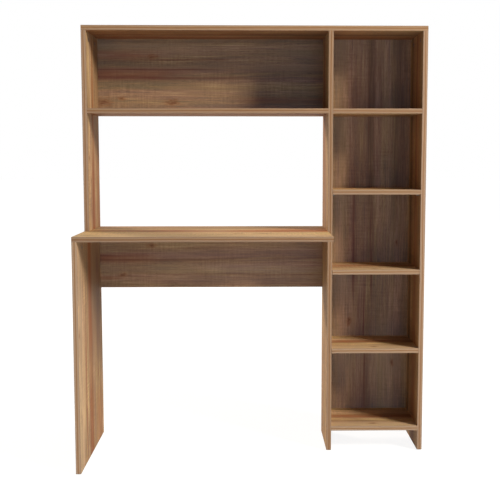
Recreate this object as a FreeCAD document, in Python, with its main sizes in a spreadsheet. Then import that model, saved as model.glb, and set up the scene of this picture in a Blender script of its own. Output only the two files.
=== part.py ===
import FreeCAD, Part
import os
from itertools import product

# A student desk with an open hutch above the desktop and a tall bookshelf tower on its right.
# Flat-pack boards stand on the floor at Z = 0; the front faces -Y and the tower is towards +X.
doc = FreeCAD.newDocument("student_desk_with_hutch")

# Driving dimensions in millimetres, one cell each.
DIMENSIONS = {
    # Boards, glued edge bands and thin backs
    "board": 16,
    "edging": 1,
    "back_sheet": 3,
    "back_inset": 2,
    "back_seam": 1,
    # Desk, hutch and tower
    "desk_length": 803,
    "desk_depth": 450,
    "desk_height": 748,
    "modesty_height": 200,
    "shelf_depth": 225,
    "tower_clear": 292,
    "cell_height": 250,
    "base_gap": 70,
    "shelf_play": 0.5,
    # Places of the fixings
    "fixing_inset": 50,
    "leg_fixing_inset": 90,
    "modesty_fixing_inset": 50,
    "pin_inset": 37,
    # Cam locks: a drum with an eccentric chamber that pulls a bolt's head
    "cam_diameter": 15,
    "cam_height": 12.5,
    "cam_setback": 24,
    "chamber_diameter": 9.6,
    "cam_throw": 0.8,
    "drive_width": 1.6,
    "drive_length": 9,
    "drive_depth": 2,
    "bolt_diameter": 6,
    "bolt_head": 7,
    "bolt_head_length": 4,
    "bolt_grip": 11,
    # Confirmat screws with a sunk head and a hexagon socket
    "screw_length": 50,
    "screw_diameter": 7,
    "screw_head": 10,
    "screw_sink": 4,
    "socket_flats": 4,
    "socket_depth": 3,
    # Dowels: through the tower's left side, and from a board's end into a board's face
    "dowel_diameter": 8,
    "dowel_reach": 22,
    "dowel_end_reach": 20,
    "dowel_face_reach": 10,
    # Pegs under the loose shelves
    "pin_diameter": 5,
    "pin_length": 16,
    "pin_depth": 8,
    # Pads under the uprights
    "foot_length": 40,
    "foot_width": 12,
    "foot_height": 3,
    "foot_inset": 15,
    # Radial and end clearance of every drilled hole, and how far a cut runs past a face
    "clearance": 0.1,
    "overrun": 1,
}

# Planes and lines that the pieces share, worked out from the driving dimensions.
POSITIONS = {
    # Left to right
    "overall_width": "Dim.desk_length + 2 * Dim.board + Dim.tower_clear",
    "left": "-overall_width / 2",
    "left_middle": "left + Dim.board / 2",
    "left_inner": "left + Dim.board",
    "desk_end": "left + Dim.desk_length",
    "tower_left_middle": "desk_end + Dim.board / 2",
    "tower_left_inner": "desk_end + Dim.board",
    "tower_right_inner": "tower_left_inner + Dim.tower_clear",
    "tower_right_middle": "tower_right_inner + Dim.board / 2",
    "right": "tower_right_inner + Dim.board",
    # Front to rear
    "front": "-(Dim.desk_depth + Dim.back_sheet) / 2",
    "rear": "front + Dim.desk_depth",
    "behind": "rear + Dim.back_sheet",
    "shelf_front": "rear - Dim.shelf_depth",
    "modesty_front": "rear - Dim.board",
    "modesty_middle": "rear - Dim.board / 2",
    "desk_centre": "rear - Dim.desk_depth / 2",
    "shelf_centre": "rear - Dim.shelf_depth / 2",
    "front_fixing": "shelf_front + Dim.fixing_inset",
    "rear_fixing": "rear - Dim.fixing_inset",
    "leg_front_fixing": "front + Dim.leg_fixing_inset",
    "leg_rear_fixing": "rear - Dim.leg_fixing_inset",
    "front_pin": "shelf_front + Dim.pin_inset",
    "rear_pin": "rear - Dim.pin_inset",
    # Floor to top; shelf 1 is the highest
    "shelf_pitch": "Dim.cell_height + Dim.board",
    "bottom_under": "Dim.base_gap",
    "bottom_middle": "bottom_under + Dim.board / 2",
    "shelf_4_under": "bottom_under + shelf_pitch",
    "shelf_3_under": "shelf_4_under + shelf_pitch",
    "shelf_2_under": "shelf_3_under + shelf_pitch",
    "shelf_1_under": "shelf_2_under + shelf_pitch",
    "shelf_1_middle": "shelf_1_under + Dim.board / 2",
    "top_under": "shelf_1_under + shelf_pitch",
    "overall_height": "top_under + Dim.board",
    "desk_under": "Dim.desk_height - Dim.board",
    "desk_middle": "Dim.desk_height - Dim.board / 2",
    "modesty_under": "desk_under - Dim.modesty_height",
    "modesty_low_fixing": "modesty_under + Dim.modesty_fixing_inset",
    "modesty_high_fixing": "desk_under - Dim.modesty_fixing_inset",
    "top_cam": "top_under - Dim.cam_setback",
    "leg_cam": "desk_under - Dim.cam_setback",
    "pin_drop": "Dim.pin_diameter / 2 + Dim.clearance",
    "shelf_2_pin": "shelf_2_under - pin_drop",
    "shelf_3_pin": "shelf_3_under - pin_drop",
    "shelf_4_pin": "shelf_4_under - pin_drop",
}


def fill_sheet(name, cells, prefix=""):
    """A spreadsheet with one named cell per row."""
    sheet = doc.addObject("Spreadsheet::Sheet", name)
    for row, (alias, content) in enumerate(cells.items(), start=1):
        sheet.set(f"A{row}", alias)
        sheet.set(f"B{row}", f"{prefix}{content}")
        sheet.setAlias(f"B{row}", alias)
    doc.recompute()
    return sheet


dim = fill_sheet("Dim", DIMENSIONS)
pos = fill_sheet("Pos", POSITIONS, prefix="=")


def bind(item, **formulas):
    """Bind an object's own sizes to formulas of the sheets."""
    for name, formula in formulas.items():
        item.setExpression(name, formula)
    return item


def bind_base(item, x="0", y="0", z="0"):
    """Bind the place of an object's own origin."""
    for axis, formula in zip("xyz", (x, y, z)):
        item.setExpression(f"Placement.Base.{axis}", formula)
    return item


def cylinder(name, radius, height, **base):
    return bind_base(bind(doc.addObject("Part::Cylinder", name), Radius=radius, Height=height), **base)


def slab(name, spans):
    """A box between pairs of planes, one pair of formulas for each axis."""
    box = doc.addObject("Part::Box", name)
    sizes = [f"({high}) - ({low})" for low, high in spans]
    bind(box, Length=sizes[0], Width=sizes[1], Height=sizes[2])
    return bind_base(box, *(low for low, high in spans))


def cut(name, base, *tools):
    """A piece with each tool cut away in turn."""
    for number, tool in enumerate(tools, start=1):
        step = doc.addObject("Part::Cut", f"{name}_{number}")
        step.Base = base
        step.Tool = tool
        base = step
    return base


def fuse(name, *shapes):
    joined = doc.addObject("Part::MultiFuse", name)
    joined.Shapes = shapes
    return joined


ROD_SIDES = 12


def rod(name, diameter, low, high):
    """A rod along Z. The small fixings are many, so each is twelve-sided and not round."""
    prism = doc.addObject("Part::Prism", name)
    prism.Polygon = ROD_SIDES
    bind(prism, Circumradius=f"({diameter}) / 2", Height=f"({high}) - ({low})")
    return bind_base(prism, z=low)


def bore(name, diameter, low, high):
    """The hole of a rod, with clearance round it and at its far end."""
    return rod(name, f"{diameter} + 2 * Dim.clearance", low, f"{high} + Dim.clearance")


# Confirmat screw: its head is flush at Z = 0 and it is driven towards +Z.
SOCKET_SIDES = 6
socket = doc.addObject("Part::Prism", "screw_socket")
socket.Polygon = SOCKET_SIDES
bind(socket, Circumradius="Dim.socket_flats / sqrt(3)", Height="Dim.socket_depth + Dim.overrun")
bind_base(socket, z="-Dim.overrun")
screw_blank = fuse(
    "screw_blank",
    rod("screw_head", "Dim.screw_head", "0", "Dim.screw_sink"),
    rod("screw_shank", "Dim.screw_diameter", "0", "Dim.screw_length"),
)
screw = cut("screw", screw_blank, socket)
screw_drill = fuse(
    "screw_drill",
    bore("screw_counterbore", "Dim.screw_head", "-Dim.overrun", "Dim.screw_sink - Dim.clearance"),
    bore("screw_bore", "Dim.screw_diameter", "0", "Dim.screw_length"),
)

# Cam lock: a drum let into a board's face at Z = 0, with its mouth towards the bolt at +Y.
# The chamber stands off the drum's axis, so that a half turn draws the bolt's head in.
drum = cylinder("cam_drum", "Dim.cam_diameter / 2", "Dim.cam_height")
chamber_floor = "Dim.board / 2 - Dim.bolt_head / 2 - Dim.clearance"
chamber = cylinder(
    "cam_chamber",
    "Dim.chamber_diameter / 2",
    f"Dim.cam_height - ({chamber_floor}) + Dim.overrun",
    y="-Dim.cam_throw",
    z=chamber_floor,
)
mouth_half = "(Dim.bolt_diameter / 2 + Dim.clearance)"
mouth = slab(
    "cam_mouth",
    [
        (f"-{mouth_half}", mouth_half),
        ("0", "Dim.cam_diameter / 2 + Dim.overrun"),
        (f"Dim.board / 2 - {mouth_half}", "Dim.cam_height + Dim.overrun"),
    ],
)
drive_long = ("-Dim.drive_length / 2", "Dim.drive_length / 2")
drive_wide = ("-Dim.drive_width / 2", "Dim.drive_width / 2")
drive_deep = ("-Dim.overrun", "Dim.drive_depth")
cam = cut(
    "cam",
    drum,
    chamber,
    mouth,
    slab("cam_drive_across", [drive_long, drive_wide, drive_deep]),
    slab("cam_drive_along", [drive_wide, drive_long, drive_deep]),
)
cam_pocket = cylinder(
    "cam_pocket",
    "Dim.cam_diameter / 2 + Dim.clearance",
    "Dim.cam_height + Dim.clearance + Dim.overrun",
    z="-Dim.overrun",
)

# Cam bolt: its head bears on the chamber's wall and its stem is screwed into the board above.
# It is drawn along Z from the drum's axis, then laid towards +Y at the middle of the board.
TO_PLUS_Y = FreeCAD.Rotation(FreeCAD.Vector(0, 0, 1), FreeCAD.Vector(0, 1, 0))
head_room = "(Dim.bolt_head / 2 + Dim.clearance)"
bolt_shoulder = f"sqrt((Dim.chamber_diameter / 2)^2 - {head_room}^2) - Dim.cam_throw - Dim.clearance"
bolt_end = "Dim.cam_setback + Dim.bolt_grip"
bolt = fuse(
    "bolt",
    rod("bolt_head", "Dim.bolt_head", f"{bolt_shoulder} - Dim.bolt_head_length", bolt_shoulder),
    rod("bolt_stem", "Dim.bolt_diameter", f"{bolt_shoulder} - Dim.bolt_head_length", bolt_end),
)
bolt_bore = bore("bolt_bore", "Dim.bolt_diameter", "0", bolt_end)
for lying in (bolt, bolt_bore):
    lying.Placement.Rotation = TO_PLUS_Y
    bind_base(lying, z="Dim.board / 2")
cam_drill = fuse("cam_drill", cam_pocket, bolt_bore)

# Wooden dowels: a long one centred in the board that it passes through,
# and a short one from a board's end, below Z = 0, into a board's face.
dowel_half = "Dim.dowel_reach + Dim.board / 2"
through_dowel = rod("through_dowel", "Dim.dowel_diameter", f"-({dowel_half})", dowel_half)
through_dowel_drill = bore(
    "through_dowel_drill", "Dim.dowel_diameter", f"-({dowel_half}) - Dim.clearance", dowel_half
)
end_dowel = rod("end_dowel", "Dim.dowel_diameter", "-Dim.dowel_end_reach", "Dim.dowel_face_reach")
end_dowel_drill = bore(
    "end_dowel_drill", "Dim.dowel_diameter", "-Dim.dowel_end_reach - Dim.clearance", "Dim.dowel_face_reach"
)

# Shelf peg, pressed into an upright at Z = 0.
pin = rod("pin", "Dim.pin_diameter", "Dim.pin_depth - Dim.pin_length", "Dim.pin_depth")
pin_drill = bore("pin_drill", "Dim.pin_diameter", "-Dim.overrun", "Dim.pin_depth")
doc.recompute()

# Where the fixings go: the joint, the way that each one is driven, and its lines in X, Y and Z.
UP = FreeCAD.Rotation()
RISING = FreeCAD.Vector(0, 0, 1)
LEFTWARDS = FreeCAD.Vector(-1, 0, 0)
RIGHTWARDS = FreeCAD.Vector(1, 0, 0)
LEFT = FreeCAD.Rotation(RISING.cross(LEFTWARDS), RISING, LEFTWARDS, "ZYX")
RIGHT = FreeCAD.Rotation(RISING.cross(RIGHTWARDS), RISING, RIGHTWARDS, "ZYX")

FIXING_LINES = ["front_fixing", "rear_fixing"]
LEG_LINES = ["leg_front_fixing", "leg_rear_fixing"]
PIN_LINES = ["front_pin", "rear_pin"]
MODESTY_HEIGHTS = ["modesty_low_fixing", "modesty_high_fixing"]
PIN_HEIGHTS = ["shelf_2_pin", "shelf_3_pin", "shelf_4_pin"]

CAM_JOINTS = [
    ("top_cams", LEFT, ["left_inner", "tower_left_inner"], FIXING_LINES, ["top_cam"]),
    ("top_cams", RIGHT, ["tower_right_inner"], FIXING_LINES, ["top_cam"]),
    ("leg_cams", LEFT, ["left_inner"], LEG_LINES, ["leg_cam"]),
]
SCREW_JOINTS = [
    ("hutch_side_foot", UP, ["left_middle"], FIXING_LINES, ["desk_under"]),
    ("hutch_shelf_left", RIGHT, ["left"], FIXING_LINES, ["shelf_1_middle"]),
    ("shelf_1_right", LEFT, ["right"], FIXING_LINES, ["shelf_1_middle"]),
    ("bottom_left", RIGHT, ["desk_end"], FIXING_LINES, ["bottom_middle"]),
    ("bottom_right", LEFT, ["right"], FIXING_LINES, ["bottom_middle"]),
    ("desktop_end", LEFT, ["tower_left_inner"], FIXING_LINES, ["desk_middle"]),
    ("modesty_left", RIGHT, ["left"], ["modesty_middle"], MODESTY_HEIGHTS),
    ("modesty_right", LEFT, ["tower_left_inner"], ["modesty_middle"], MODESTY_HEIGHTS),
]
THROUGH_DOWEL_JOINTS = [("shelf_line", RIGHT, ["tower_left_middle"], FIXING_LINES, ["shelf_1_middle"])]
UPRIGHT_MIDDLES = ["left_middle", "tower_left_middle", "tower_right_middle"]
END_DOWEL_JOINTS = [
    ("top_dowels", UP, UPRIGHT_MIDDLES, ["shelf_centre"], ["top_under"]),
    ("leg_dowels", UP, ["left_middle"], ["desk_centre"], ["desk_under"]),
    ("desktop_dowels", RIGHT, ["desk_end"], ["shelf_centre"], ["desk_middle"]),
]
PIN_JOINTS = [
    ("left_pins", LEFT, ["tower_left_inner"], PIN_LINES, PIN_HEIGHTS),
    ("right_pins", RIGHT, ["tower_right_inner"], PIN_LINES, PIN_HEIGHTS),
]

nodes = []
drills = {}


def placed(source, frames):
    """Copies of an object's shape in each of the frames."""
    copies = []
    for frame in frames:
        copy = source.Shape.copy()
        copy.Placement = frame.multiply(copy.Placement)
        copies.append(copy)
    return copies


def solid_group(name, shapes):
    group = doc.addObject("Part::Feature", name)
    group.Shape = Part.makeCompound([solid for shape in shapes for solid in shape.Solids])
    group.Placement = FreeCAD.Placement()
    return group


def frames_of(row):
    joint, driven, *lines = row
    spots = [[getattr(pos, alias) for alias in spot] for spot in product(*lines)]
    return [FreeCAD.Placement(FreeCAD.Vector(*spot), driven) for spot in spots]


def fixings(label, piece, rows):
    """One node for all the fixings of a kind."""
    frames = [frame for row in rows for frame in frames_of(row)]
    nodes.append(solid_group(label, placed(piece, frames)))


def drill(tool, rows):
    """The holes of a kind of fixing, kept by joint for the boards that meet there."""
    holes = {}
    for row in rows:
        holes.setdefault(row[0], []).extend(placed(tool, frames_of(row)))
    for joint, shapes in holes.items():
        drills[joint] = solid_group(f"{joint}_holes", shapes)


fixings("cam_locks", cam, CAM_JOINTS)
fixings("cam_bolts", bolt, CAM_JOINTS)
fixings("confirmat_screws", screw, SCREW_JOINTS)
fixings("through_dowels", through_dowel, THROUGH_DOWEL_JOINTS)
fixings("end_dowels", end_dowel, END_DOWEL_JOINTS)
fixings("shelf_pins", pin, PIN_JOINTS)
drill(cam_drill, CAM_JOINTS)
drill(screw_drill, SCREW_JOINTS)
drill(through_dowel_drill, THROUGH_DOWEL_JOINTS)
drill(end_dowel_drill, END_DOWEL_JOINTS)
drill(pin_drill, PIN_JOINTS)

# Each face's axis, and which end of that axis it lies at.
FACES = {"left": (0, 0), "right": (0, 1), "front": (1, 0), "rear": (1, 1), "bottom": (2, 0)}


def grouped(label, pieces):
    """A node of one piece, or of several pieces that are separate solids."""
    node = pieces[0]
    if len(pieces) > 1:
        node = doc.addObject("Part::Compound", label)
        node.Links = pieces
    node.Label = label
    nodes.append(node)


def board(label, spans, bands, joints=()):
    """A drilled board with its edge bands; spans are its finished size, bands included.

    bands gives each banded face the joints whose fixings pass through it.
    """
    core = [list(pair) for pair in spans]
    strips = []
    for face, band_joints in bands.items():
        axis, end = FACES[face]
        outer = core[axis][end]
        inner = f"{outer} {'-' if end else '+'} Dim.edging"
        strip = [list(pair) for pair in core]
        strip[axis][1 - end] = inner
        core[axis][end] = inner
        name = f"{label}_{face}_band"
        strips.append(cut(f"{name}_drilled", slab(name, strip), *(drills[joint] for joint in band_joints)))
    blank = slab(f"{label}_blank", core)
    grouped(label, [cut(f"{label}_drilled", blank, *(drills[joint] for joint in joints))])
    grouped(f"{label}_edging", strips)


def thickness(under):
    """A board's span from its underside."""
    return (under, f"{under} + Dim.board")


SHELF_DEPTH = ("Pos.shelf_front", "Pos.rear")
DESK_DEPTH = ("Pos.front", "Pos.rear")
LEFT_SIDE = ("Pos.left", "Pos.left_inner")
TOWER_LEFT = ("Pos.desk_end", "Pos.tower_left_inner")
TOWER_RIGHT = ("Pos.tower_right_inner", "Pos.right")
DESK_CLEAR = ("Pos.left_inner", "Pos.desk_end")
TOWER_CLEAR = ("Pos.tower_left_inner", "Pos.tower_right_inner")
LOOSE_SHELF = ("Pos.tower_left_inner + Dim.shelf_play", "Pos.tower_right_inner - Dim.shelf_play")
TOWER_HEIGHT = ("Dim.foot_height", "Pos.top_under")
FRONT_BAND = {"front": ()}

# The top board lies across the hutch and the tower, on the ends of the three uprights.
board(
    "top_panel",
    [("Pos.left", "Pos.right"), SHELF_DEPTH, thickness("Pos.top_under")],
    {"front": (), "left": (), "right": ()},
    ["top_cams", "top_dowels"],
)

# The hutch: a side that stands on the desktop, and a shelf in line with the tower's first shelf.
board(
    "hutch_left_side",
    [LEFT_SIDE, SHELF_DEPTH, ("Dim.desk_height", "Pos.top_under")],
    FRONT_BAND,
    ["top_cams", "top_dowels", "hutch_side_foot", "hutch_shelf_left"],
)
board(
    "hutch_shelf",
    [DESK_CLEAR, SHELF_DEPTH, thickness("Pos.shelf_1_under")],
    FRONT_BAND,
    ["hutch_shelf_left", "shelf_line"],
)

# The tower: two full-height sides, two fixed shelves, and three loose shelves on pegs.
board(
    "tower_left_side",
    [TOWER_LEFT, SHELF_DEPTH, TOWER_HEIGHT],
    FRONT_BAND,
    [
        "top_cams",
        "top_dowels",
        "shelf_line",
        "bottom_left",
        "desktop_end",
        "desktop_dowels",
        "modesty_right",
        "left_pins",
    ],
)
board(
    "tower_right_side",
    [TOWER_RIGHT, SHELF_DEPTH, TOWER_HEIGHT],
    FRONT_BAND,
    ["top_cams", "top_dowels", "shelf_1_right", "bottom_right", "right_pins"],
)
board(
    "tower_shelf_1",
    [TOWER_CLEAR, SHELF_DEPTH, thickness("Pos.shelf_1_under")],
    FRONT_BAND,
    ["shelf_line", "shelf_1_right"],
)
for number in (2, 3, 4):
    board(
        f"tower_shelf_{number}",
        [LOOSE_SHELF, SHELF_DEPTH, thickness(f"Pos.shelf_{number}_under")],
        FRONT_BAND,
    )
board(
    "tower_bottom_shelf",
    [TOWER_CLEAR, SHELF_DEPTH, thickness("Pos.bottom_under")],
    FRONT_BAND,
    ["bottom_left", "bottom_right"],
)

# The desk: its top butts against the tower, lies on the leg and stands out in front of the tower.
board(
    "desktop",
    [("Pos.left", "Pos.desk_end"), DESK_DEPTH, thickness("Pos.desk_under")],
    {"front": (), "rear": (), "left": (), "right": ["desktop_end", "desktop_dowels"]},
    ["desktop_end", "desktop_dowels", "hutch_side_foot", "leg_cams", "leg_dowels"],
)
board(
    "desk_leg",
    [LEFT_SIDE, DESK_DEPTH, ("Dim.foot_height", "Pos.desk_under")],
    {"front": (), "rear": ()},
    ["leg_cams", "leg_dowels", "modesty_left"],
)
board(
    "modesty_panel",
    [DESK_CLEAR, ("Pos.modesty_front", "Pos.rear"), ("Pos.modesty_under", "Pos.desk_under")],
    {"bottom": ()},
    ["modesty_left", "modesty_right"],
)

# Thin backs against the boards' rear edges; they meet on the edge of the tower's left side.
BEHIND = ("Pos.rear", "Pos.behind")
BACK_TOP = "Pos.overall_height - Dim.back_inset"
hutch_back = slab(
    "hutch_back",
    [
        ("Pos.left + Dim.back_inset", "Pos.tower_left_middle - Dim.back_seam / 2"),
        BEHIND,
        ("Pos.shelf_1_under + Dim.back_inset", BACK_TOP),
    ],
)
tower_back = slab(
    "tower_back",
    [
        ("Pos.tower_left_middle + Dim.back_seam / 2", "Pos.right - Dim.back_inset"),
        BEHIND,
        ("Pos.bottom_under + Dim.back_inset", BACK_TOP),
    ],
)
nodes.extend([hutch_back, tower_back])

# Two pads under each upright, set in from its ends.
pads = []
for upright, middle, first in (
    ("leg", "Pos.left_middle", "Pos.front"),
    ("tower_left", "Pos.tower_left_middle", "Pos.shelf_front"),
    ("tower_right", "Pos.tower_right_middle", "Pos.shelf_front"),
):
    across = (f"{middle} - Dim.foot_width / 2", f"{middle} + Dim.foot_width / 2")
    near = f"{first} + Dim.foot_inset"
    far = "Pos.rear - Dim.foot_inset"
    ends = {
        "front": (near, f"{near} + Dim.foot_length"),
        "rear": (f"{far} - Dim.foot_length", far),
    }
    for end, along in ends.items():
        pads.append(slab(f"{upright}_{end}_pad", [across, along, ("0", "Dim.foot_height")]))
grouped("foot_pads", pads)

doc.recompute()
for item in doc.Objects:
    if "Invalid" in item.State or "Error" in item.State:
        raise RuntimeError(f"{item.Label} failed: {item.State}")
for node in nodes:
    if node.Shape.isNull() or not node.Shape.isValid():
        raise RuntimeError(f"{node.Label} has no valid shape")

os.makedirs("parts", exist_ok=True)
for node in nodes:
    node.Shape.exportStep(f"parts/{node.Label}.step")
    print(node.Label, len(node.Shape.Solids), "solids", round(node.Shape.Volume), "mm3")
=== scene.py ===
import math
import bmesh
import bpy
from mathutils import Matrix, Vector


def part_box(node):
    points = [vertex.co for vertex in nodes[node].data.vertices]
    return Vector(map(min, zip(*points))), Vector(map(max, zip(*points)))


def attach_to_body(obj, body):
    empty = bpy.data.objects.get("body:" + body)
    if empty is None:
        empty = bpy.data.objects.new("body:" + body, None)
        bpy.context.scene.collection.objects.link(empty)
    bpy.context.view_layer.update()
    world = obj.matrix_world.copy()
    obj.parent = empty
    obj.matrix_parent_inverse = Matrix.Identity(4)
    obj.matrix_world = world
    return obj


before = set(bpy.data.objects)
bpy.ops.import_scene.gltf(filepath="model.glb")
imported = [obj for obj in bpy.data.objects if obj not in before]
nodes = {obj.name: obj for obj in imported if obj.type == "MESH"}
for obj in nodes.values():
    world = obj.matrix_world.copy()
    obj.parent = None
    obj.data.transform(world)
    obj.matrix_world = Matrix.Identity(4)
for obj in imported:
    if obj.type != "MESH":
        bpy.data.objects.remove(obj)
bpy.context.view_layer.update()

# Foot pads
# Small blocks of dark moulded plastic, two under each upright, nailed on so that
# the boards' raw lower edges stand clear of a damp floor.


def paint(red, green, blue):
    """A shader colour from the red, green and blue of a paint card, 0 to 255 each."""
    linear = []
    for part in (red, green, blue):
        share = part / 255
        linear.append(share / 12.92 if share <= 0.04045 else ((share + 0.055) / 1.055) ** 2.4)
    return (*linear, 1.0)


def add_node(tree, kind, inputs=(), **settings):
    """Adds a shader node; each of its inputs is a value or another node's output."""
    item = tree.nodes.new(f"ShaderNode{kind}")
    for name, value in settings.items():
        setattr(item, name, value)
    for name, value in dict(inputs).items():
        if isinstance(value, bpy.types.NodeSocket):
            tree.links.new(value, item.inputs[name])
        else:
            item.inputs[name].default_value = value
    return item


def calc(tree, operation, *values):
    """One step of arithmetic on values or outputs."""
    return add_node(tree, "Math", dict(enumerate(values)), operation=operation).outputs[0]


def own_place(tree):
    """Where a point lies in its piece's own frame, in metres."""
    return add_node(tree, "TexCoord").outputs["Object"]


def soft_step(tree, value, low, high):
    """0 below low, 1 above high, and a smooth rise between them."""
    inputs = {"Value": value, "From Min": low, "From Max": high}
    return add_node(tree, "MapRange", inputs, interpolation_type="SMOOTHSTEP").outputs[0]


def blend(tree, factor, first, second, mode="MIX"):
    """The first colour changed by the second, as far as the factor says."""
    inputs = {0: factor, 6: first, 7: second}
    return add_node(tree, "Mix", inputs, data_type="RGBA", blend_type=mode).outputs[2]


def speckle_noise(tree, place, per_metre, detail, roughness=0.5):
    """Noise with the same number of cells per metre in every direction."""
    inputs = {"Vector": place, "Scale": per_metre, "Detail": detail, "Roughness": roughness}
    return add_node(tree, "TexNoise", inputs).outputs[0]


def new_material(name, sheen=0.5):
    """A bare material with its surface shader; sheen is the strength of its reflections."""
    material = bpy.data.materials.new(name)
    material.use_nodes = True
    tree = material.node_tree
    tree.nodes.clear()
    surface = add_node(tree, "BsdfPrincipled", {"Specular IOR Level": sheen})
    add_node(tree, "OutputMaterial", {"Surface": surface.outputs[0]})
    return material, tree, surface


def attach(tree, surface, **inputs):
    """Links outputs to the surface shader, with underscores for the spaces in its sockets' names."""
    for name, output in inputs.items():
        tree.links.new(output, surface.inputs[name.replace("_", " ")])


def bump(tree, height, depth):
    """A normal from a height of 0 to 1 over a real depth in metres."""
    return add_node(tree, "Bump", {"Height": height, "Distance": depth}).outputs["Normal"]


def dress(node, material):
    """Gives a CAD node its finish."""
    nodes[node].material_slots[0].material = material


PAD_COLOUR = paint(38, 34, 32)
PAD_DUST = paint(74, 68, 62)
PAD_GRAIN_PER_METRE = 900
PAD_GRAIN_DEPTH = 0.0002

pad_plastic, tree, surface = new_material("pad_plastic")
place = own_place(tree)
speckle = speckle_noise(tree, place, PAD_GRAIN_PER_METRE, 3)
attach(
    tree,
    surface,
    Base_Color=blend(tree, soft_step(tree, speckle, 0.45, 0.75), PAD_COLOUR, PAD_DUST),
    Roughness=calc(tree, "MULTIPLY_ADD", speckle, 0.3, 0.35),
    Normal=bump(tree, speckle, PAD_GRAIN_DEPTH),
)
dress("foot_pads", pad_plastic)

# Desk leg
# The desk's left upright: 16 mm chipboard faced on both sides with printed wood-grain
# paper, drilled for cams above and for the modesty panel's screws at the rear.

GREY_BROWN = paint(132, 107, 83)
BROWN = paint(156, 121, 89)
TAN = paint(178, 142, 104)
PALE_TAN = paint(197, 162, 120)
LIGHT_TAN = paint(213, 175, 128)
PALE_GREY = paint(198, 170, 140)
OLIVE_BROWN = paint(140, 108, 74)
RED_BROWN = paint(148, 88, 56)
ORANGE_BROWN = paint(176, 106, 56)
RUST_BROWN = paint(138, 76, 40)
DARK_RED = paint(104, 54, 44)
PLUM_BROWN = paint(116, 82, 68)
UMBER = paint(106, 77, 54)
OCHRE_CAST = (1.0, 1.03, 0.88, 1.0)
PLUM_CAST = (1.0, 0.94, 0.99, 1.0)


def tones(tree, value, stops):
    """A colour from a strip of colours, each given at its share of the strip."""
    item = add_node(tree, "ValToRGB", {"Fac": value})
    strip = item.color_ramp.elements
    while len(strip) < len(stops):
        strip.new(1.0)
    for element, (share, colour) in zip(strip, stops):
        element.position = share
        element.color = colour
    return item.outputs["Color"]


def new_group(name, inputs, outputs):
    """A shader node group whose inputs and outputs are named with their kinds of socket."""
    group = bpy.data.node_groups.new(name, "ShaderNodeTree")
    for direction, sockets in (("INPUT", inputs), ("OUTPUT", outputs)):
        for socket, kind in sockets.items():
            group.interface.new_socket(name=socket, in_out=direction, socket_type=f"NodeSocket{kind}")
    source = group.nodes.new("NodeGroupInput")
    sink = group.nodes.new("NodeGroupOutput")
    return group, source.outputs, sink.inputs


def grain_noise(tree, along, across, seed, per_metre, detail=2.0):
    """Noise drawn out along the grain; per_metre counts its cells along and across the grain."""
    place = add_node(
        tree,
        "CombineXYZ",
        {
            "X": calc(tree, "MULTIPLY", along, per_metre[0]),
            "Y": calc(tree, "MULTIPLY", across, per_metre[1]),
            "Z": seed,
        },
    )
    return add_node(tree, "TexNoise", {"Vector": place.outputs[0], "Scale": 1.0, "Detail": detail}).outputs[0]


def vary(tree, base, noise, amount):
    """A value moved up and down by a noise whose mean is a half."""
    return calc(tree, "MULTIPLY_ADD", calc(tree, "SUBTRACT", noise, 0.5), amount, base)


PRINT_SWAY = 0.022
PRINT_SWAY_PER_METRE = (1.6, 4)
PRINT_LAYERS = {
    "zones": (0.0, (2.2, 15), 4),
    "mottle": (3.0, (9, 90), 3),
    "lines": (5.0, (8, 230), 4),
    "fibres": (9.0, (55, 520), 6),
    "sawn": (13.0, (150, 16), 3),
    "patches": (17.0, (3, 5), 2),
    "pores": (21.0, (70, 1100), 2),
    "casts": (25.0, (1.2, 28), 3),
    "bands": (29.0, (1.5, 38), 2),
}
TONE_LAYERS = {"zones": 0.58, "bands": 0.25, "lines": 0.65, "mottle": 0.3}
PRINT_TONES = [(0.30, GREY_BROWN), (0.45, BROWN), (0.57, TAN), (0.70, PALE_TAN), (0.86, LIGHT_TAN)]
FIBRE_SHADE = 0.75
SAW_SHADE = 0.75
PORE_SHADE = -0.35

wood_print, given, made = new_group(
    "wood_print",
    {"Along": "Float", "Across": "Float", "Seed": "Float", "Lightness": "Float", "Contrast": "Float"},
    {"Color": "Color", "Roughness": "Float", "Height": "Float"},
)
along = given["Along"]
seed = given["Seed"]
sway = grain_noise(wood_print, along, given["Across"], seed, PRINT_SWAY_PER_METRE)
across = vary(wood_print, given["Across"], sway, PRINT_SWAY)
layers = {}
for name, (seed_step, per_metre, detail) in PRINT_LAYERS.items():
    layer_seed = calc(wood_print, "ADD", seed, seed_step)
    layers[name] = grain_noise(wood_print, along, across, layer_seed, per_metre, detail)
tone = 0.0
for name, amount in TONE_LAYERS.items():
    tone = vary(wood_print, tone, layers[name], amount)
tone = calc(wood_print, "MULTIPLY_ADD", tone, given["Contrast"], 0.5)
colour = tones(wood_print, calc(wood_print, "ADD", tone, given["Lightness"]), PRINT_TONES)
cast = blend(wood_print, soft_step(wood_print, layers["casts"], 0.35, 0.65), OCHRE_CAST, PLUM_CAST)
colour = blend(wood_print, 1.0, colour, cast, "MULTIPLY")
saw_marks = calc(wood_print, "MULTIPLY", soft_step(wood_print, layers["patches"], 0.35, 0.65), SAW_SHADE)
shade = vary(wood_print, vary(wood_print, 1.0, layers["fibres"], FIBRE_SHADE), layers["sawn"], saw_marks)
pore_shade = calc(wood_print, "MULTIPLY", soft_step(wood_print, layers["pores"], 0.60, 0.68), PORE_SHADE)
shade = calc(wood_print, "ADD", shade, pore_shade)
wood_print.links.new(blend(wood_print, 1.0, colour, shade, "MULTIPLY"), made["Color"])
wood_print.links.new(calc(wood_print, "MULTIPLY_ADD", layers["fibres"], 0.25, 0.5), made["Roughness"])
wood_print.links.new(calc(wood_print, "ADD", layers["fibres"], layers["lines"]), made["Height"])


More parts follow.
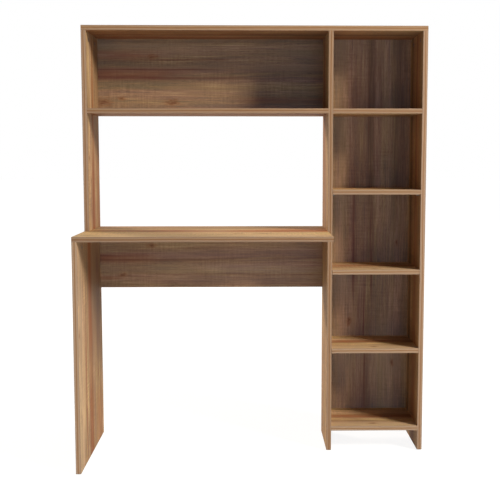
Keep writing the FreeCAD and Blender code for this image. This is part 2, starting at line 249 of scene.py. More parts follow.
def nearness(tree, value, middle, reach, full):
    """1 within a share of the reach from the middle, falling smoothly to 0 at the reach."""
    apart = calc(tree, "ABSOLUTE", calc(tree, "SUBTRACT", value, middle))
    return calc(tree, "SUBTRACT", 1.0, soft_step(tree, calc(tree, "DIVIDE", apart, reach), full, 1.0))


STREAK_SWAY = 0.012
STREAK_SWAY_PER_METRE = (2.5, 5)
VEINS_PER_METRE = (7, 170)
VEIN_SEED_STEP = 41.0
VEIN_CONTRAST = 2.0
FULL_WIDTH_SHARE = 0.2
FULL_LENGTH_SHARE = 0.4

streak, given, made = new_group(
    "streak",
    {
        "Color": "Color",
        "Tint": "Color",
        "Along": "Float",
        "Across": "Float",
        "Seed": "Float",
        "Place": "Float",
        "Half Width": "Float",
        "Middle": "Float",
        "Half Length": "Float",
        "Strength": "Float",
    },
    {"Color": "Color"},
)
along = given["Along"]
sway = grain_noise(streak, along, given["Across"], given["Seed"], STREAK_SWAY_PER_METRE)
across = vary(streak, given["Across"], sway, STREAK_SWAY)
seed = calc(streak, "ADD", calc(streak, "ADD", given["Seed"], given["Place"]), VEIN_SEED_STEP)
veins = grain_noise(streak, along, across, seed, VEINS_PER_METRE, 4)
inside = calc(
    streak,
    "MULTIPLY",
    nearness(streak, across, given["Place"], given["Half Width"], FULL_WIDTH_SHARE),
    nearness(streak, along, given["Middle"], given["Half Length"], FULL_LENGTH_SHARE),
)
amount = calc(streak, "MULTIPLY", inside, vary(streak, 0.9, veins, VEIN_CONTRAST))
amount = calc(streak, "MULTIPLY", amount, given["Strength"])
amount = calc(streak, "MINIMUM", calc(streak, "MAXIMUM", amount, 0.0), 1.0)
streak.links.new(blend(streak, amount, given["Color"], given["Tint"]), made["Color"])

KNOT_RIM = paint(146, 94, 56)
KNOT_HEART = paint(104, 64, 42)
KNOT_STRETCH = 2.2
KNOT_RAGGEDNESS = 2.2
RAGS_PER_METRE = (60, 260)
RIM_STRENGTH = 0.5
HEART_STRENGTH = 0.7

knot, given, made = new_group(
    "knot",
    {
        "Color": "Color",
        "Along": "Float",
        "Across": "Float",
        "Knot Along": "Float",
        "Knot Across": "Float",
        "Size": "Float",
    },
    {"Color": "Color"},
)
apart = add_node(
    knot,
    "CombineXYZ",
    {
        "X": calc(knot, "DIVIDE", calc(knot, "SUBTRACT", given["Along"], given["Knot Along"]), KNOT_STRETCH),
        "Y": calc(knot, "SUBTRACT", given["Across"], given["Knot Across"]),
    },
).outputs[0]
distance = add_node(knot, "VectorMath", {0: apart}, operation="LENGTH").outputs["Value"]
ragged = grain_noise(knot, given["Along"], given["Across"], 0.0, RAGS_PER_METRE, 3)
distance = vary(knot, calc(knot, "DIVIDE", distance, given["Size"]), ragged, KNOT_RAGGEDNESS)
rim = calc(knot, "MULTIPLY_ADD", soft_step(knot, distance, 0.3, 1.3), -RIM_STRENGTH, RIM_STRENGTH)
heart = calc(knot, "MULTIPLY_ADD", soft_step(knot, distance, 0.0, 0.6), -HEART_STRENGTH, HEART_STRENGTH)
rimmed = blend(knot, rim, given["Color"], KNOT_RIM)
knot.links.new(blend(knot, heart, rimmed, KNOT_HEART), made["Color"])

CHIPS_PER_METRE = 320.0
CHIP_TONES = [(0.0, paint(150, 116, 76)), (0.5, paint(196, 162, 114)), (1.0, paint(222, 192, 146))]

chipboard, given, made = new_group(
    "raw_chipboard",
    {"Place": "Vector"},
    {"Color": "Color", "Height": "Float"},
)
chips = add_node(chipboard, "TexVoronoi", {"Vector": given["Place"], "Scale": CHIPS_PER_METRE})
chip_tone = add_node(chipboard, "SeparateColor", {"Color": chips.outputs["Color"]}).outputs[0]
chipboard.links.new(tones(chipboard, chip_tone, CHIP_TONES), made["Color"])
chipboard.links.new(chips.outputs["Distance"], made["Height"])

FACING_BUMP = 0.00012
PAPER_SHEEN = 0.06
CHIP_BUMP = 0.0006
AXES = "XYZ"


def split(tree, vector):
    """The X, Y and Z outputs of a vector."""
    return add_node(tree, "SeparateXYZ", {"Vector": vector}).outputs


def print_and_painted_light(
    tree, place, grain, width, seed, lightness=0.0, contrast=1.0, shift=0.0, streaks=(), knots=()
):
    """Colour, roughness and relief of the wood-grain paper, with painted light and shade in some boards'
    streaks; grain and width are axes of the frame.

    A streak is its tint, place and half-width across the grain, middle and half-length along it,
    and strength; a knot is its place along and across the grain and its radius; shift moves the
    print across the grain.
    """
    axis = split(tree, place)
    spot = {"Along": axis[grain], "Across": calc(tree, "ADD", axis[width], shift)}
    look = {"Seed": seed, "Lightness": lightness, "Contrast": contrast}
    paper = add_node(tree, "Group", {**spot, **look}, node_tree=wood_print).outputs
    colour = paper["Color"]
    for print_and_light_tint, line, half_width, middle, half_length, strength in streaks:
        mark = {"Tint": print_and_light_tint, "Seed": seed, "Place": line, "Half Width": half_width}
        mark.update({"Middle": middle, "Half Length": half_length, "Strength": strength})
        colour = add_node(tree, "Group", {**spot, **mark, "Color": colour}, node_tree=streak).outputs[0]
    for knot_along, knot_across, radius in knots:
        mark = {"Knot Along": knot_along, "Knot Across": knot_across, "Size": radius}
        colour = add_node(tree, "Group", {**spot, **mark, "Color": colour}, node_tree=knot).outputs[0]
    return colour, paper["Roughness"], paper["Height"]


def facing(tree, axis):
    """How far a surface faces along an axis of the frame, from -1 to 1."""
    normal = add_node(tree, "NewGeometry").outputs["True Normal"]
    return split(tree, normal)[axis]


def board_finish(node, thickness, grain, seed, **print_look):
    """Wood-grain paper, with painted light and shade in some streaks, on a board's two faces and bare
    chipboard on its cut edges.
    """
    width = (set(AXES) - {thickness, grain}).pop()
    material, tree, surface = new_material(f"{node}_finish", PAPER_SHEEN)
    place = own_place(tree)
    colour, roughness, relief = print_and_painted_light(tree, place, grain, width, seed, **print_look)
    raw = add_node(tree, "Group", {"Place": place}, node_tree=chipboard).outputs
    on_face = calc(tree, "GREATER_THAN", calc(tree, "ABSOLUTE", facing(tree, thickness)), 0.5)
    depth = calc(tree, "MULTIPLY_ADD", on_face, FACING_BUMP - CHIP_BUMP, CHIP_BUMP)
    height = add_node(tree, "Mix", {0: on_face, 2: raw["Height"], 3: relief}).outputs[0]
    attach(
        tree,
        surface,
        Base_Color=blend(tree, on_face, raw["Color"], colour),
        Roughness=roughness,
        Normal=bump(tree, height, depth),
    )
    dress(node, material)


board_finish(
    "desk_leg",
    thickness="X",
    grain="Z",
    seed=3.0,
    contrast=1.8,
    streaks=[
        (PALE_GREY, -0.190, 0.070, 0.35, 0.70, 0.4),
        (OLIVE_BROWN, 0.110, 0.120, 0.45, 0.70, 0.6),
        # Painted shade: this streak and the next darken the leg's upper middle and rear, where the desktop's
        # shade falls.
        (BROWN, 0.050, 0.170, 0.50, 0.26, 0.75),
        (UMBER, 0.060, 0.220, 0.48, 0.26, 0.42),
        (LIGHT_TAN, -0.140, 0.040, 0.26, 0.22, 0.5),
        # Painted shade: this streak darkens the leg's upper rear in the desktop's shade, and the next paints
        # the desktop's shadow on the leg's front top.
        (PLUM_BROWN, 0.150, 0.060, 0.50, 0.28, 0.6),
        (GREY_BROWN, -0.130, 0.080, 0.68, 0.14, 0.5),
        (ORANGE_BROWN, 0.140, 0.090, 0.0, 0.25, 0.35),
        (RUST_BROWN, -0.010, 0.055, 0.02, 0.36, 0.9),
        (RUST_BROWN, -0.012, 0.046, 0.56, 0.34, 0.85),
        (RED_BROWN, -0.100, 0.014, 0.22, 0.28, 0.7),
        (DARK_RED, 0.006, 0.005, 0.27, 0.12, 0.5),
    ],
    knots=[(0.171, -0.103, 0.012), (0.439, -0.205, 0.010), (0.243, 0.130, 0.012)],
)

# Tower sides
# Two full-height uprights of the same faced board, drilled through for the shelves'
# screws and halfway for the pegs of the loose shelves.

DARK_OLIVE = paint(92, 76, 58)
board_finish(
    "tower_left_side",
    thickness="X",
    grain="Z",
    seed=11.0,
    lightness=0.05,
    streaks=[
        (RED_BROWN, 0.160, 0.060, 1.15, 0.60, 0.6),
        (PLUM_BROWN, 0.165, 0.014, 1.10, 0.60, 0.5),
    ],
)
board_finish(
    "tower_right_side",
    thickness="X",
    grain="Z",
    seed=17.0,
    streaks=[
        (TAN, 0.216, 0.018, 0.7, 1.8, 0.4),
        (DARK_OLIVE, 0.190, 0.030, 0.7, 1.8, 0.65),
        (RED_BROWN, 0.085, 0.060, 0.7, 1.8, 0.5),
        (DARK_RED, 0.103, 0.016, 1.15, 0.60, 0.6),
    ],
)

# Tower shelves
# Five short boards of the same faced chipboard between the sides. The bottom one is
# screwed in, the first is screwed and dowelled, and the three between lie loose on pegs.

SHELF_SEED = 23.0
SEED_STEP = 3.0
for number, shelf in enumerate(
    ("tower_shelf_1", "tower_shelf_2", "tower_shelf_3", "tower_shelf_4", "tower_bottom_shelf")
):
    board_finish(
        shelf,
        thickness="Z",
        grain="X",
        seed=SHELF_SEED + SEED_STEP * number,
        lightness=0.15,
        contrast=1.4,
        streaks=[
            (RED_BROWN, 0.12, 0.035, 0.45, 0.30, 0.8),
            # Painted light: this streak and the next lighten the shelves along their front, where light
            # grazes their tops.
            (LIGHT_TAN, 0.01, 0.050, 0.38, 0.30, 0.6),
            (PALE_GREY, 0.02, 0.050, 0.40, 0.40, 0.4),
            # Painted shade: this streak darkens the shelves' right rear, in the shade of the tower's right
            # side.
            (UMBER, 0.14, 0.110, 0.54, 0.11, 0.45),
        ],
        knots=[(0.40, 0.03, 0.009)],
    )

# Modesty panel
# A low faced board under the desktop's rear edge, screwed between the leg and the tower
# to brace them. It carries the hutch back's print, with paler and plum-coloured streaks.

HUTCH_PRINT = 41.0
MODESTY_PRINT_SHIFT = 0.646
MAUVE_BROWN = paint(128, 98, 86)
board_finish(
    "modesty_panel",
    thickness="Y",
    grain="X",
    seed=HUTCH_PRINT,
    lightness=-0.01,
    contrast=0.8,
    shift=MODESTY_PRINT_SHIFT,
    streaks=[
        (MAUVE_BROWN, 1.260, 0.110, 0.15, 0.45, 0.15),
        (MAUVE_BROWN, 1.290, 0.036, 0.00, 0.90, 0.45),
        (MAUVE_BROWN, 1.240, 0.030, 0.15, 0.45, 0.4),
        (PALE_GREY, 1.244, 0.026, -0.25, 0.55, 0.16),
        (MAUVE_BROWN, 1.203, 0.026, 0.15, 0.60, 0.5),
        (OLIVE_BROWN, 1.330, 0.014, -0.20, 0.50, 0.4),
        (RED_BROWN, 1.270, 0.090, -0.54, 0.24, 0.2),
        (RED_BROWN, 1.281, 0.022, -0.54, 0.24, 0.5),
        (DARK_RED, 1.317, 0.004, -0.22, 0.20, 0.35),
        (DARK_RED, 1.291, 0.005, -0.50, 0.18, 0.45),
        (DARK_RED, 1.275, 0.006, -0.36, 0.36, 0.5),
        (DARK_RED, 1.280, 0.005, 0.05, 0.34, 0.2),
        (DARK_RED, 1.223, 0.004, 0.00, 0.40, 0.3),
        (RED_BROWN, 1.211, 0.009, -0.54, 0.10, 0.5),
    ],
    knots=[(-0.368, 1.327, 0.010), (-0.468, 1.223, 0.008)],
)

# Desktop
# A faced board banded all round. It lies on the leg, held by cams, and butts against the
# tower's left side, where screws go in from inside the tower.

board_finish(
    "desktop",
    thickness="Z",
    grain="X",
    seed=43.0,
    lightness=0.28,
    contrast=1.2,
    streaks=[
        (OLIVE_BROWN, 0.150, 0.090, -0.10, 1.20, 0.65),
        (LIGHT_TAN, -0.175, 0.050, -0.15, 0.40, 0.7),
        (PALE_GREY, -0.205, 0.045, -0.15, 0.80, 0.35),
        (ORANGE_BROWN, 0.050, 0.120, 0.18, 0.22, 0.5),
        (RED_BROWN, 0.000, 0.065, 0.00, 0.60, 0.65),
        (RUST_BROWN, 0.015, 0.070, -0.38, 0.28, 0.7),
        (ORANGE_BROWN, 0.000, 0.060, 0.10, 0.25, 0.8),
        (RUST_BROWN, 0.000, 0.030, 0.15, 0.12, 0.5),
    ],
    knots=[(0.028, -0.099, 0.012), (-0.059, -0.113, 0.010)],
)

# Hutch
# A faced side that stands on the desktop, screwed from below, and a shelf that is screwed
# to it and shares its dowels through the tower's side with the tower's first shelf.

board_finish(
    "hutch_left_side",
    thickness="X",
    grain="Z",
    seed=47.0,
    lightness=0.02,
    contrast=1.4,
    streaks=[
        (OLIVE_BROWN, 0.190, 0.070, 1.0, 0.8, 0.7),
        (RUST_BROWN, 0.200, 0.070, 0.85, 0.30, 0.4),
        (UMBER, 0.222, 0.012, 1.00, 0.60, 0.5),
        (PALE_GREY, 0.060, 0.090, 1.28, 0.18, 0.15),
        (RUST_BROWN, 0.092, 0.034, 0.80, 0.28, 0.95),
        (RUST_BROWN, 0.114, 0.020, 1.00, 0.45, 0.6),
        (RUST_BROWN, 0.100, 0.018, 1.22, 0.24, 0.7),
        (DARK_RED, 0.085, 0.006, 0.86, 0.12, 0.6),
    ],
    knots=[(0.989, 0.03, 0.009), (0.916, 0.054, 0.009)],
)
board_finish(
    "hutch_shelf",
    thickness="Z",
    grain="X",
    seed=53.0,
    lightness=0.03,
    streaks=[(RUST_BROWN, 0.100, 0.120, -0.15, 0.90, 0.6)],
)

# Top panel
# One faced board across the hutch and the tower, placed on the three uprights by dowels
# and drawn down by cams.

board_finish(
    "top_panel",
    thickness="Z",
    grain="X",
    seed=59.0,
    streaks=[
        (UMBER, 0.110, 0.100, 0.0, 1.2, 0.25),
        (RUST_BROWN, 0.050, 0.100, -0.3, 1.0, 0.45),
        (RED_BROWN, 0.190, 0.040, 0.0, 1.2, 0.75),
        (ORANGE_BROWN, 0.150, 0.022, 0.0, 1.2, 0.4),
        (RUST_BROWN, 0.104, 0.016, -0.3, 0.5, 0.6),
        (DARK_RED, 0.118, 0.010, 0.0, 1.2, 0.6),
    ],
)

# Thin backs
# Fibreboard sheets, 3 mm thick, with the wood-grain print on the front face only. They
# are nailed from behind to the rear edges of the boards that they cover.

FIBREBOARD = paint(150, 117, 84)
FIBREBOARD_DARK = paint(130, 99, 70)
FELT_PER_METRE = 700
FLOCKS_PER_METRE = 140
STAINS_PER_METRE = 9


def back_finish(node, grain, seed, **print_look):
    """Wood-grain print, with painted shade in some streaks, on a sheet's front face and bare fibreboard
    behind.
    """
    width = (set(AXES) - {"Y", grain}).pop()
    material, tree, surface = new_material(f"{node}_finish", PAPER_SHEEN)
    place = own_place(tree)
    colour, roughness, relief = print_and_painted_light(tree, place, grain, width, seed, **print_look)
    printed = calc(tree, "LESS_THAN", facing(tree, "Y"), -0.5)
    felt = speckle_noise(tree, place, FELT_PER_METRE, 8, 0.7)
    flocks = speckle_noise(tree, place, FLOCKS_PER_METRE, 4)
    stains = speckle_noise(tree, place, STAINS_PER_METRE, 6)
    bare = blend(tree, soft_step(tree, felt, 0.35, 0.65), FIBREBOARD_DARK, FIBREBOARD)
    bare = blend(tree, 1.0, bare, vary(tree, vary(tree, 1.0, stains, 0.35), flocks, 0.35), "MULTIPLY")
    height = add_node(tree, "Mix", {0: printed, 2: felt, 3: relief}).outputs[0]
    attach(
        tree,
        surface,
        Base_Color=blend(tree, printed, bare, colour),
        Roughness=roughness,
        Normal=bump(tree, height, FACING_BUMP),
    )
    dress(node, material)


back_finish(
    "hutch_back",
    grain="X",
    seed=HUTCH_PRINT,
    lightness=-0.1,
    streaks=[
        (TAN, 1.368, 0.040, -0.42, 0.35, 0.35),
        (BROWN, 1.228, 0.034, -0.13, 0.24, 0.4),
        (RED_BROWN, 1.280, 0.032, -0.54, 0.36, 0.65),
        (PLUM_BROWN, 1.276, 0.036, -0.20, 0.80, 0.3),
        (RED_BROWN, 1.345, 0.030, -0.56, 0.30, 0.4),
        (RED_BROWN, 1.190, 0.018, 0.12, 0.22, 0.4),
        (UMBER, 1.394, 0.016, -0.10, 0.80, 0.4),
        (BROWN, 1.301, 0.018, -0.10, 0.90, 0.4),
        (BROWN, 1.352, 0.020, 0.18, 0.14, 0.4),
        (DARK_RED, 1.295, 0.004, -0.36, 0.30, 0.65),
        (DARK_RED, 1.266, 0.006, -0.16, 0.20, 0.6),
        (DARK_RED, 1.268, 0.009, -0.46, 0.20, 0.65),
        (DARK_RED, 1.329, 0.005, -0.22, 0.18, 0.55),
    ],
    knots=[
        (-0.358, 1.340, 0.010),
        (-0.530, 1.182, 0.018),
        (-0.464, 1.196, 0.008),
        (-0.289, 1.182, 0.015),
    ],
)
back_finish(
    "tower_back",
    grain="Z",
    seed=61.0,
    lightness=-0.05,
    contrast=0.9,
    streaks=[
        (PALE_TAN, 0.300, 0.035, 1.00, 0.80, 0.3),
        (PALE_TAN, 0.320, 0.060, 0.34, 0.36, 0.2),
        (OLIVE_BROWN, 0.355, 0.030, 1.20, 0.45, 0.3),
        (PLUM_BROWN, 0.398, 0.030, 0.70, 1.60, 0.35),
        (UMBER, 0.413, 0.020, 1.20, 0.60, 0.7),
        (UMBER, 0.440, 0.016, 1.30, 0.30, 0.5),
        (UMBER, 0.506, 0.040, 1.15, 0.55, 0.6),
        # Painted shade: this streak and the next darken the upper left of the two top cells, under the board
        # above.
        (UMBER, 0.300, 0.040, 1.36, 0.12, 0.3),
        (UMBER, 0.300, 0.030, 1.09, 0.12, 0.25),
        (UMBER, 0.438, 0.014, 1.02, 0.16, 0.3),
        (PLUM_BROWN, 0.416, 0.013, 0.74, 0.15, 0.45),
        (PALE_TAN, 0.400, 0.260, 0.28, 0.13, 0.13),
        (PLUM_BROWN, 0.375, 0.050, 0.20, 0.22, 0.35),
        (PLUM_BROWN, 0.407, 0.014, 0.20, 0.20, 0.35),
        # Painted light: this streak and the next make the shade in the lowest cell's right part lighter and
        # warmer.
        (TAN, 0.490, 0.060, 0.20, 0.20, 0.25),
        (PALE_TAN, 0.450, 0.050, 0.20, 0.30, 0.2),
        (PLUM_BROWN, 0.356, 0.018, 0.68, 0.22, 0.5),
        (PLUM_BROWN, 0.376, 0.020, 0.42, 0.13, 0.5),
        (DARK_RED, 0.352, 0.006, 0.70, 0.30, 0.6),
        (DARK_RED, 0.413, 0.006, 0.66, 0.22, 0.6),
        (DARK_RED, 0.390, 0.005, 0.44, 0.13, 0.5),
        (DARK_RED, 0.395, 0.006, 0.18, 0.18, 0.5),
        (DARK_RED, 0.400, 0.004, 1.20, 0.22, 0.4),
    ],
    knots=[(0.407, 0.337, 0.010), (0.254, 0.493, 0.008), (0.689, 0.505, 0.006)],
)

# Edge bands
# Strips of printed plastic, 1 mm thick, ironed on to the cut edges in sight from the front.
# Their edges are eased, but strips that meet at a corner are trimmed flush and stay square.

BAND_STRIPES = [
    (0.05, paint(162, 129, 101)),
    (0.28, paint(177, 143, 113)),
    (0.46, paint(148, 104, 68)),
    (0.60, paint(157, 118, 82)),
    (0.76, paint(181, 146, 115)),
    (0.95, paint(160, 127, 99)),
]
STRIPE_DRIFT = 0.5
STRIPE_DRIFT_PER_METRE = (3, 20)
BAND_FIBRE_SHADE = 0.28
BAND_FIBRES_PER_METRE = (12, 900)
BAND_FIBRE_SEED_STEP = 4.0
BAND_SEED = 70.0
BAND_ROUNDING = 0.0004
WELD_REACH = 1e-6
CORNERED_BANDS = ("desktop_edging", "top_panel_edging")


def band_finish(node, grain, width, seed, print_and_light_tint):
    """Stripes along the band; width is the axis across it, and tint a share of red, green and blue that is
    partly print and partly painted light.
    """
    low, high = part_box(node)
    material, tree, surface = new_material(f"{node}_finish", PAPER_SHEEN)
    axis = split(tree, own_place(tree))
    start = low[AXES.index(width)]
    across = calc(tree, "SUBTRACT", axis[width], start)
    drift = grain_noise(tree, axis[grain], across, seed, STRIPE_DRIFT_PER_METRE)
    fibre_seed = seed + BAND_FIBRE_SEED_STEP
    fibres = grain_noise(tree, axis[grain], across, fibre_seed, BAND_FIBRES_PER_METRE, 3)
    share = calc(tree, "DIVIDE", across, high[AXES.index(width)] - start)
    stripes_with_painted_light = []
    for stop, colour in BAND_STRIPES:
        stripes_with_painted_light.append((stop, [part * level for part, level in zip(colour, (*print_and_light_tint, 1.0))]))
    stripes = tones(tree, vary(tree, share, drift, STRIPE_DRIFT), stripes_with_painted_light)
    attach(
        tree,
        surface,
        Base_Color=blend(tree, 1.0, stripes, vary(tree, 1.0, fibres, BAND_FIBRE_SHADE), "MULTIPLY"),
        Roughness=calc(tree, "MULTIPLY_ADD", fibres, 0.2, 0.35),
        Normal=bump(tree, fibres, FACING_BUMP),
    )
    dress(node, material)


def round_edges(node):
    """Takes the sharpness off a strip, as a cork block does."""
    weld = nodes[node].modifiers.new("joined_corners", "WELD")
    weld.merge_threshold = WELD_REACH
    rounding = nodes[node].modifiers.new("rounded_edges", "BEVEL")
    rounding.width = BAND_ROUNDING
    rounding.segments = 2


# Painted light in the tints: bands high up are darker and warmer, bands low down lighter and cooler, and the
# leg's band lighter still for a painted sheen; the rest is the print's own variation.
for number, (node, grain, width, print_and_light_tint) in enumerate(
    (
        ("desk_leg_edging", "Z", "X", (1.10, 1.14, 1.15)),
        ("tower_left_side_edging", "Z", "X", (0.82, 0.80, 0.76)),
        ("tower_right_side_edging", "Z", "X", (0.94, 0.95, 0.97)),
        ("tower_shelf_1_edging", "X", "Z", (0.84, 0.82, 0.78)),
        ("tower_shelf_2_edging", "X", "Z", (0.88, 0.89, 0.87)),
        ("tower_shelf_3_edging", "X", "Z", (0.92, 0.94, 0.92)),
        ("tower_shelf_4_edging", "X", "Z", (0.97, 0.99, 0.98)),
        ("tower_bottom_shelf_edging", "X", "Z", (0.98, 1.03, 1.05)),
        ("modesty_panel_edging", "X", "Y", (1.0, 1.0, 1.0)),
        ("desktop_edging", "X", "Z", (0.80, 0.79, 0.76)),
        ("hutch_left_side_edging", "Z", "X", (0.96, 0.96, 0.95)),
        ("hutch_shelf_edging", "X", "Z", (0.84, 0.81, 0.75)),
        ("top_panel_edging", "X", "Z", (0.90, 0.87, 0.78)),
    )
):
    band_finish(node, grain, width, BAND_SEED + SEED_STEP * number, print_and_light_tint)
    if node not in CORNERED_BANDS:
        round_edges(node)

# Cam locks
# Zinc castings, 15 mm across, turned in pockets near the uprights' upper ends so that
# their eccentric chambers draw the bolts' heads down.

TARNISH_GRAINS = 6


def metal_finish(name, dark, light, roughness, grain_per_metre, grain_depth):
    """Bare or plated metal with a fine grain and clouds of tarnish some grains across."""
    material, tree, surface = new_material(name)
    surface.inputs["Metallic"].default_value = 1.0
    place = own_place(tree)
    cloud = speckle_noise(tree, place, grain_per_metre / TARNISH_GRAINS, 4)
    grit = speckle_noise(tree, place, grain_per_metre, 2)
    attach(
        tree,
        surface,
        Base_Color=blend(tree, soft_step(tree, cloud, 0.35, 0.65), dark, light),
        Roughness=vary(tree, roughness, grit, 0.3),
        Normal=bump(tree, grit, grain_depth),
    )
    return material


cast_zinc = metal_finish(
    "cast_zinc",
    dark=paint(108, 102, 95),
    light=paint(138, 131, 122),
    roughness=0.6,
    grain_per_metre=1500,
    grain_depth=0.0001,
)
dress("cam_locks", cast_zinc)

# Bolts, screws and pegs
# Turned steel with a thin zinc plating: the cams' bolts, the long coarse screws with a
# hexagon socket, and the small pegs under the loose shelves.

plated_steel = metal_finish(
    "plated_steel",
    dark=paint(120, 116, 108),
    light=paint(158, 152, 140),
    roughness=0.42,
    grain_per_metre=2400,
    grain_depth=0.00003,
)
for fixing in ("cam_bolts", "confirmat_screws", "shelf_pins"):
    dress(fixing, plated_steel)

# Dowels
# Plain beech pegs, 8 mm across, glued in. Two go through the tower's side into the shelves
# on both sides of it, and the others place boards that cams or screws draw together.

BEECH_PALE = paint(206, 172, 128)
BEECH_FLECK = paint(170, 128, 86)
FLECKS_PER_METRE = (160, 1400)
beech, tree, surface = new_material("beech")
axis = split(tree, own_place(tree))
girth = calc(tree, "ADD", axis["Y"], axis["Z"])
flecks = grain_noise(tree, axis["X"], girth, 5.0, FLECKS_PER_METRE, 2)
attach(
    tree,
    surface,
    Base_Color=blend(tree, soft_step(tree, flecks, 0.5, 0.7), BEECH_PALE, BEECH_FLECK),
    Roughness=calc(tree, "MULTIPLY_ADD", flecks, 0.2, 0.5),
    Normal=bump(tree, flecks, FACING_BUMP),
)
for dowels in ("through_dowels", "end_dowels"):
    dress(dowels, beech)

# Back nails
# Short wire nails with flat round heads, driven through the thin backs into the boards'
# rear edges about every 110 mm.

NAIL_INSET = 0.005
NAIL_SPACING = 0.11
NAIL_PROFILE = ((0.0021, -0.0006), (0.0021, -0.0001), (0.0018, 0.0002), (0.0008, 0.00025))
NAIL_SIDES = 12


def spaced(start, end):
    """Places from start to end, evenly spaced and no more than the nails' spacing apart."""
    count = math.ceil((end - start) / NAIL_SPACING)
    return [start + (end - start) * step / count for step in range(count + 1)]


def nail_places(back, cross_heights):
    """Nails round a back's edge and in rows at the given heights."""
    low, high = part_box(back)
    left = low[0] + NAIL_INSET
    right = high[0] - NAIL_INSET
    bottom = low[2] + NAIL_INSET
    top = high[2] - NAIL_INSET
    sides = [(x, z) for x in (left, right) for z in spaced(bottom, top)]
    rows = [(x, z) for z in (bottom, top, *cross_heights) for x in spaced(left, right)[1:-1]]
    return [(x, high[1], z) for x, z in sides + rows]


def add_object(name, data):
    """A new object in the scene, made of the given data."""
    item = bpy.data.objects.new(name, data)
    bpy.context.scene.collection.objects.link(item)
    return item


def nails(name, places):
    """The heads of one sheet's nails, as one piece that rides on the desk."""
    mesh = bmesh.new()
    for x, y, z in places:
        rings = []
        for radius, proud in NAIL_PROFILE:
            ring = []
            for side in range(NAIL_SIDES):
                turn = 2 * math.pi * side / NAIL_SIDES
                spot = (x + radius * math.cos(turn), y + proud, z + radius * math.sin(turn))
                ring.append(mesh.verts.new(spot))
            rings.append(ring)
        for inner, outer in zip(rings, rings[1:]):
            for side in range(NAIL_SIDES):
                after = (side + 1) % NAIL_SIDES
                mesh.faces.new((inner[side], inner[after], outer[after], outer[side]))
        mesh.faces.new(rings[0])
        mesh.faces.new(rings[-1])
    bmesh.ops.recalc_face_normals(mesh, faces=mesh.faces)
    data = bpy.data.meshes.new(name)
    mesh.to_mesh(data)
    mesh.free()
    data.materials.append(plated_steel)
    piece = add_object(name, data)
    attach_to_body(piece, "root")


def middle_height(board):
    """Height of a level board's middle above the floor."""
    low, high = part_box(board)
    return (low[2] + high[2]) / 2


nails("hutch_back_nails", nail_places("hutch_back", ()))
nails("tower_back_nails", nail_places("tower_back", (middle_height("tower_shelf_1"),)))

# Floor and surroundings
# A plain pale floor that runs out of sight under a dim even sky. Seen by the camera or
# in a reflection both are white, and the floor keeps the desk's faint shadow.

FLOOR_HALF = 40.0
FLOOR_COLOUR = (0.82, 0.87, 0.92, 1.0)
FLOOR_SEEN_COLOUR = (0.25, 0.25, 0.25, 1.0)
FLOOR_GLOW_NEAR = 0.90
FLOOR_GLOW_FAR = 1.0
FADE_START = 1.5
FADE_END = 4.0
WHITE = (1.0, 1.0, 1.0, 1.0)


def seen_rays(tree):
    """1 for rays from the camera, a reflection or glass, and 0 for those that light the desk."""
    path = add_node(tree, "LightPath").outputs
    mirrored = calc(tree, "MAXIMUM", path["Is Glossy Ray"], path["Is Transmission Ray"])
    return calc(tree, "MAXIMUM", path["Is Camera Ray"], mirrored)


corners = [(x * FLOOR_HALF, y * FLOOR_HALF, 0.0) for x, y in ((-1, -1), (1, -1), (1, 1), (-1, 1))]
floor_mesh = bpy.data.meshes.new("floor")
floor_mesh.from_pydata(corners, [], [(0, 1, 2, 3)])
floor = add_object("floor", floor_mesh)
floor_white, tree, surface = new_material("floor_white", 0.0)
surface.inputs["Roughness"].default_value = 1.0
surface.inputs["Emission Color"].default_value = WHITE
seen = seen_rays(tree)
place = own_place(tree)
distance = add_node(tree, "VectorMath", {0: place}, operation="LENGTH").outputs["Value"]
fade = soft_step(tree, distance, FADE_START, FADE_END)
glow = calc(tree, "MULTIPLY_ADD", fade, FLOOR_GLOW_FAR - FLOOR_GLOW_NEAR, FLOOR_GLOW_NEAR)
attach(
    tree,
    surface,
    Base_Color=blend(tree, seen, FLOOR_COLOUR, FLOOR_SEEN_COLOUR),
    Emission_Strength=calc(tree, "MULTIPLY", seen, glow),
)
floor_mesh.materials.append(floor_white)

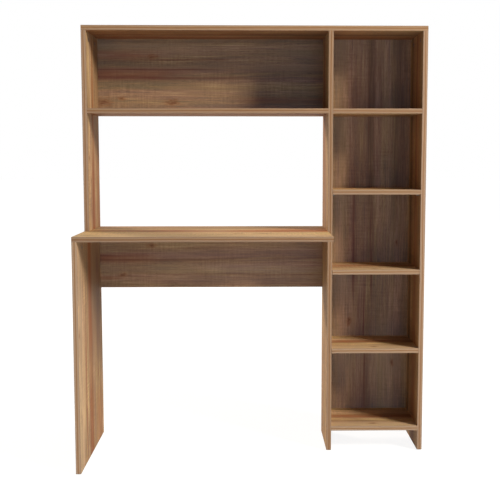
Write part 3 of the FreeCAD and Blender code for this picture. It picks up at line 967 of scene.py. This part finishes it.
SKY_LEVEL = 0.08
world = bpy.data.worlds.new("studio")
world.use_nodes = True
bpy.context.scene.world = world
tree = world.node_tree
tree.nodes.clear()
level = calc(tree, "MULTIPLY_ADD", seen_rays(tree), 1.0 - SKY_LEVEL, SKY_LEVEL)
sky = add_node(tree, "Background", {"Color": WHITE, "Strength": level})
add_node(tree, "OutputWorld", {"Surface": sky.outputs[0]})

# Lamps
# A large soft key lamp high in front of the desk on its right, a second one behind it
# on its left, and a wide weak bluish one far in front.

DESK_MIDDLE = (0.0, 0.0, 0.8)


def lamp(name, place, width, height, power, colour):
    """An area lamp turned to the desk, a disc where its width and height are equal."""
    data = bpy.data.lights.new(name, "AREA")
    data.shape = "ELLIPSE"
    data.size = width
    data.size_y = height
    data.energy = power
    data.color = colour
    item = add_object(name, data)
    item.location = place
    item.rotation_mode = "QUATERNION"
    item.rotation_quaternion = (Vector(DESK_MIDDLE) - Vector(place)).to_track_quat("-Z", "Y")


lamp("key", (4.5, -3.3, 3.5), width=1.6, height=1.6, power=430.0, colour=(1.0, 0.98, 0.90))
lamp("rear", (-5.5, 4.6, 3.5), width=2.0, height=2.0, power=440.0, colour=(1.0, 0.90, 0.80))
lamp("fill", (1.2, -12.0, 0.8), width=6.0, height=2.0, power=350.0, colour=(0.33, 0.53, 1.0))

# Camera
# It stands straight in front of the desk, a little above the desktop, and looks slightly
# down. Its lens and shift come from the perspective of the boards' edges.

CAMERA_PLACE = (-0.0155, -3.0159, 0.9843)
CAMERA_DOWN = 0.09628
CAMERA_RIGHT = 0.01863
SENSOR_WIDTH = 36.0
IMAGE_SIDE = 500
FOCAL_PIXELS = 914.0
CENTRE_PIXELS = (267.65, 247.54)
camera_data = bpy.data.cameras.new("camera")
camera_data.sensor_width = SENSOR_WIDTH
camera_data.lens = FOCAL_PIXELS / IMAGE_SIDE * SENSOR_WIDTH
camera_data.shift_x = 0.5 - CENTRE_PIXELS[0] / IMAGE_SIDE
camera_data.shift_y = CENTRE_PIXELS[1] / IMAGE_SIDE - 0.5
camera = add_object("camera", camera_data)
camera.location = CAMERA_PLACE
camera.rotation_euler = (math.pi / 2 - CAMERA_DOWN, 0.0, -CAMERA_RIGHT)
bpy.context.scene.camera = camera
bpy.context.scene.view_settings.view_transform = "Standard"
